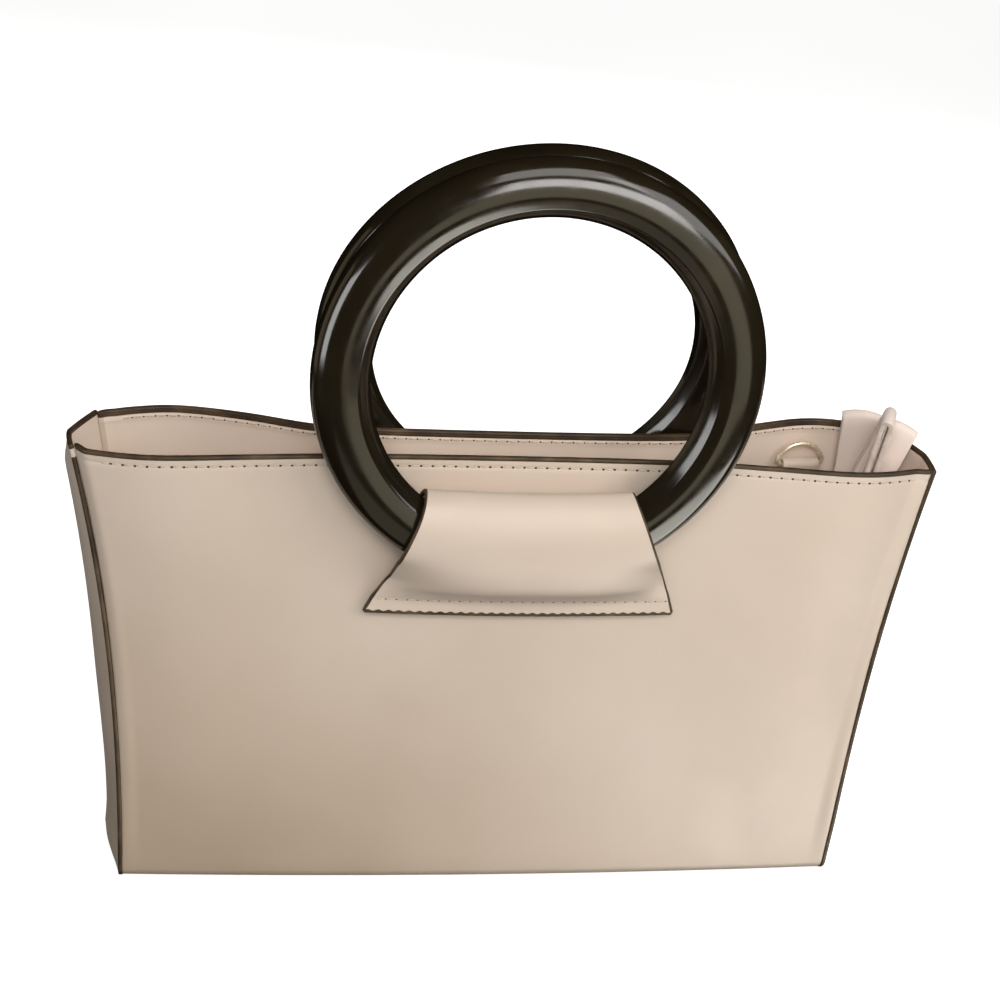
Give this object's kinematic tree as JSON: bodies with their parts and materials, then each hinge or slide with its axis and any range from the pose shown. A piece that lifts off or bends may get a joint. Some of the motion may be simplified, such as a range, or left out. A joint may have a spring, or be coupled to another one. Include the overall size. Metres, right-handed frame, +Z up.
{
  "type": "handbag with ring handles",
  "caption": "Open-topped handbag of smooth leather with round resin ring handles in sewn leather tabs, side gussets, an inner D-ring and a folded shoulder strap.",
  "frame": {"origin": "on the floor, under the middle of the base", "axes": "+X to the right as seen from the front, +Y to the back, +Z up"},
  "size_m": [0.3152, 0.0697, 0.2957],
  "materials": {
    "leather": "smooth, satin, with dark painted edges",
    "strap_leather": "smooth, matte",
    "resin": "polished, dark brown",
    "pale_gold": "polished, pale gold"
  },
  "bodies": {
    "bag": {"body_wrap": "leather", "gusset_left": "leather", "gusset_right": "leather", "tab_front": "leather", "tab_back": "leather", "d_ring_tab": "leather", "shoulder_strap": "strap_leather"},
    "front_handle": {"ring_front": "resin"},
    "back_handle": {"ring_back": "resin"},
    "strap_ring": {"d_ring": "pale_gold"}
  },
  "joints": [
    {"name": "front_ring_turn", "type": "hinge", "parent": "bag", "child": "front_handle", "pos_m": [-0.0002, -0.02096, 0.21717], "axis": [0, 0.9981, -0.061], "continuous": true},
    {"name": "back_ring_turn", "type": "hinge", "parent": "bag", "child": "back_handle", "pos_m": [0.0032, 0.01482, 0.215], "axis": [0, 0.9898, 0.1426], "continuous": true},
    {"name": "d_ring_swing", "type": "hinge", "parent": "bag", "child": "strap_ring", "pos_m": [0.11407, 0.0198, 0.16492], "axis": [0.9955, 0.0947, 0], "range_deg": [0, 150]}
  ]
}
